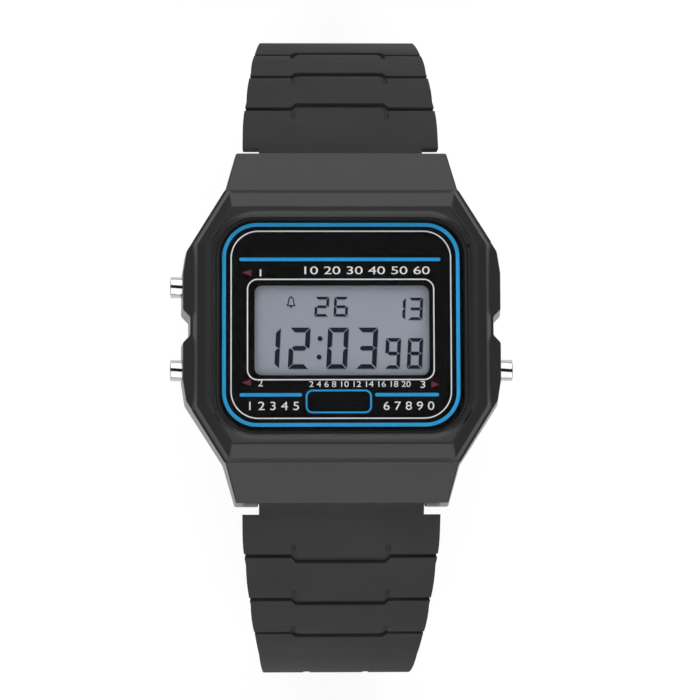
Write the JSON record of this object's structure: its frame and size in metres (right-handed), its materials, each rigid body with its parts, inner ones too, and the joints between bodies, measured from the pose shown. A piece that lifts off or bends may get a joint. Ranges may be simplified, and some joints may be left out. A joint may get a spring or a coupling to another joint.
{
  "type": "digital watch",
  "caption": "Digital wristwatch with an eight-sided resin case, side pushers and a buckled resin strap.",
  "frame": {"origin": "centre of the case back's outer face", "axes": "+Z out of the crystal, +Y towards 12 o'clock, +X towards 3 o'clock"},
  "size_m": [0.0368, 0.0743, 0.0578],
  "materials": {
    "resin": "satin",
    "strap_resin": "matte",
    "crystal": "gloss",
    "lcd_glass": "gloss",
    "clear_plastic": "gloss",
    "polariser": "satin",
    "reflector": "satin",
    "panel": "satin",
    "module_plastic": "matte",
    "board": "satin",
    "black_epoxy": "gloss",
    "film": "satin",
    "lamp": "satin",
    "brass": "satin",
    "ceramic": "matte",
    "seal_rubber": "matte",
    "connector_rubber": "matte",
    "steel": "satin",
    "pusher_chrome": "polished"
  },
  "bodies": {
    "watch": {"case_body": "resin", "crystal": "crystal", "crystal_gasket": "seal_rubber", "face_panel": "panel", "lcd_front_polariser": "polariser", "lcd_glass": "lcd_glass", "lcd_reflector": "reflector", "lcd_connectors": "connector_rubber", "light_guide": "clear_plastic", "lamp": "lamp", "module_frame": "module_plastic", "circuit_board": "board", "driver_chip": "black_epoxy", "quartz_resonator": "steel", "chip_capacitors": "ceramic", "insulator_film": "film", "battery_contact": "brass", "battery_cell": "steel", "battery_clip": "steel", "switch_contacts": "brass", "buzzer_plate": "brass", "buzzer_ceramic": "ceramic", "buzzer_spring": "brass", "back_gasket": "seal_rubber", "case_back": "steel", "case_back_screws": "steel", "pusher_spring_upper_left": "steel", "pusher_spring_lower_left": "steel", "pusher_spring_lower_right": "steel", "strap_upper": "strap_resin", "strap_lower": "strap_resin", "spring_bar_upper": "steel", "spring_bar_lower": "steel", "spring_bar_coil_upper": "steel", "spring_bar_coil_lower": "steel"},
    "pusher_upper_left": {"pusher_upper_left": "pusher_chrome", "pusher_seal_upper_left": "seal_rubber", "pusher_clip_upper_left": "steel"},
    "pusher_lower_left": {"pusher_lower_left": "pusher_chrome", "pusher_seal_lower_left": "seal_rubber", "pusher_clip_lower_left": "steel"},
    "pusher_lower_right": {"pusher_lower_right": "pusher_chrome", "pusher_seal_lower_right": "seal_rubber", "pusher_clip_lower_right": "steel"},
    "spring_bar_tip_upper_left": {"spring_bar_tip_upper_left": "steel"},
    "spring_bar_tip_upper_right": {"spring_bar_tip_upper_right": "steel"},
    "spring_bar_tip_lower_left": {"spring_bar_tip_lower_left": "steel"},
    "spring_bar_tip_lower_right": {"spring_bar_tip_lower_right": "steel"},
    "buckle_frame": {"buckle_frame": "steel", "buckle_bar": "steel"},
    "buckle_tongue": {"buckle_tongue": "steel"},
    "keeper": {"keeper": "strap_resin"}
  },
  "joints": [
    {"name": "pusher_upper_left_press", "type": "slide", "parent": "watch", "child": "pusher_upper_left", "axis": [1, 0, 0], "range_m": [0, 0.0008], "stiffness_N_per_m": 900, "springref_m": -0.0006, "deforming": ["pusher_spring_upper_left"]},
    {"name": "pusher_lower_left_press", "type": "slide", "parent": "watch", "child": "pusher_lower_left", "axis": [1, 0, 0], "range_m": [0, 0.0008], "stiffness_N_per_m": 900, "springref_m": -0.0006, "deforming": ["pusher_spring_lower_left"]},
    {"name": "pusher_lower_right_press", "type": "slide", "parent": "watch", "child": "pusher_lower_right", "axis": [-1, 0, 0], "range_m": [0, 0.0008], "stiffness_N_per_m": 900, "springref_m": -0.0006, "deforming": ["pusher_spring_lower_right"]},
    {"name": "spring_bar_tip_upper_left_slide", "type": "slide", "parent": "watch", "child": "spring_bar_tip_upper_left", "axis": [1, 0, 0], "range_m": [0, 0.001], "stiffness_N_per_m": 900, "springref_m": -0.0015, "deforming": ["spring_bar_coil_upper"]},
    {"name": "spring_bar_tip_upper_right_slide", "type": "slide", "parent": "watch", "child": "spring_bar_tip_upper_right", "axis": [-1, 0, 0], "range_m": [0, 0.001], "stiffness_N_per_m": 900, "springref_m": -0.0015, "deforming": ["spring_bar_coil_upper"]},
    {"name": "spring_bar_tip_lower_left_slide", "type": "slide", "parent": "watch", "child": "spring_bar_tip_lower_left", "axis": [1, 0, 0], "range_m": [0, 0.001], "stiffness_N_per_m": 900, "springref_m": -0.0015, "deforming": ["spring_bar_coil_lower"]},
    {"name": "spring_bar_tip_lower_right_slide", "type": "slide", "parent": "watch", "child": "spring_bar_tip_lower_right", "axis": [-1, 0, 0], "range_m": [0, 0.001], "stiffness_N_per_m": 900, "springref_m": -0.0015, "deforming": ["spring_bar_coil_lower"]},
    {"name": "buckle_frame_swing", "type": "hinge", "parent": "watch", "child": "buckle_frame", "pos_m": [0, 0.00095, -0.04455], "axis": [1, 0, 0], "range_deg": [0, 10]},
    {"name": "buckle_tongue_swing", "type": "hinge", "parent": "buckle_frame", "child": "buckle_tongue", "pos_m": [0, 0.00095, -0.04455], "axis": [1, 0, 0], "range_deg": [0, 8]},
    {"name": "keeper_slide", "type": "slide", "parent": "watch", "child": "keeper", "axis": [0, 0.991, 0.1336], "range_m": [-0.0025, 0.003]}
  ]
}
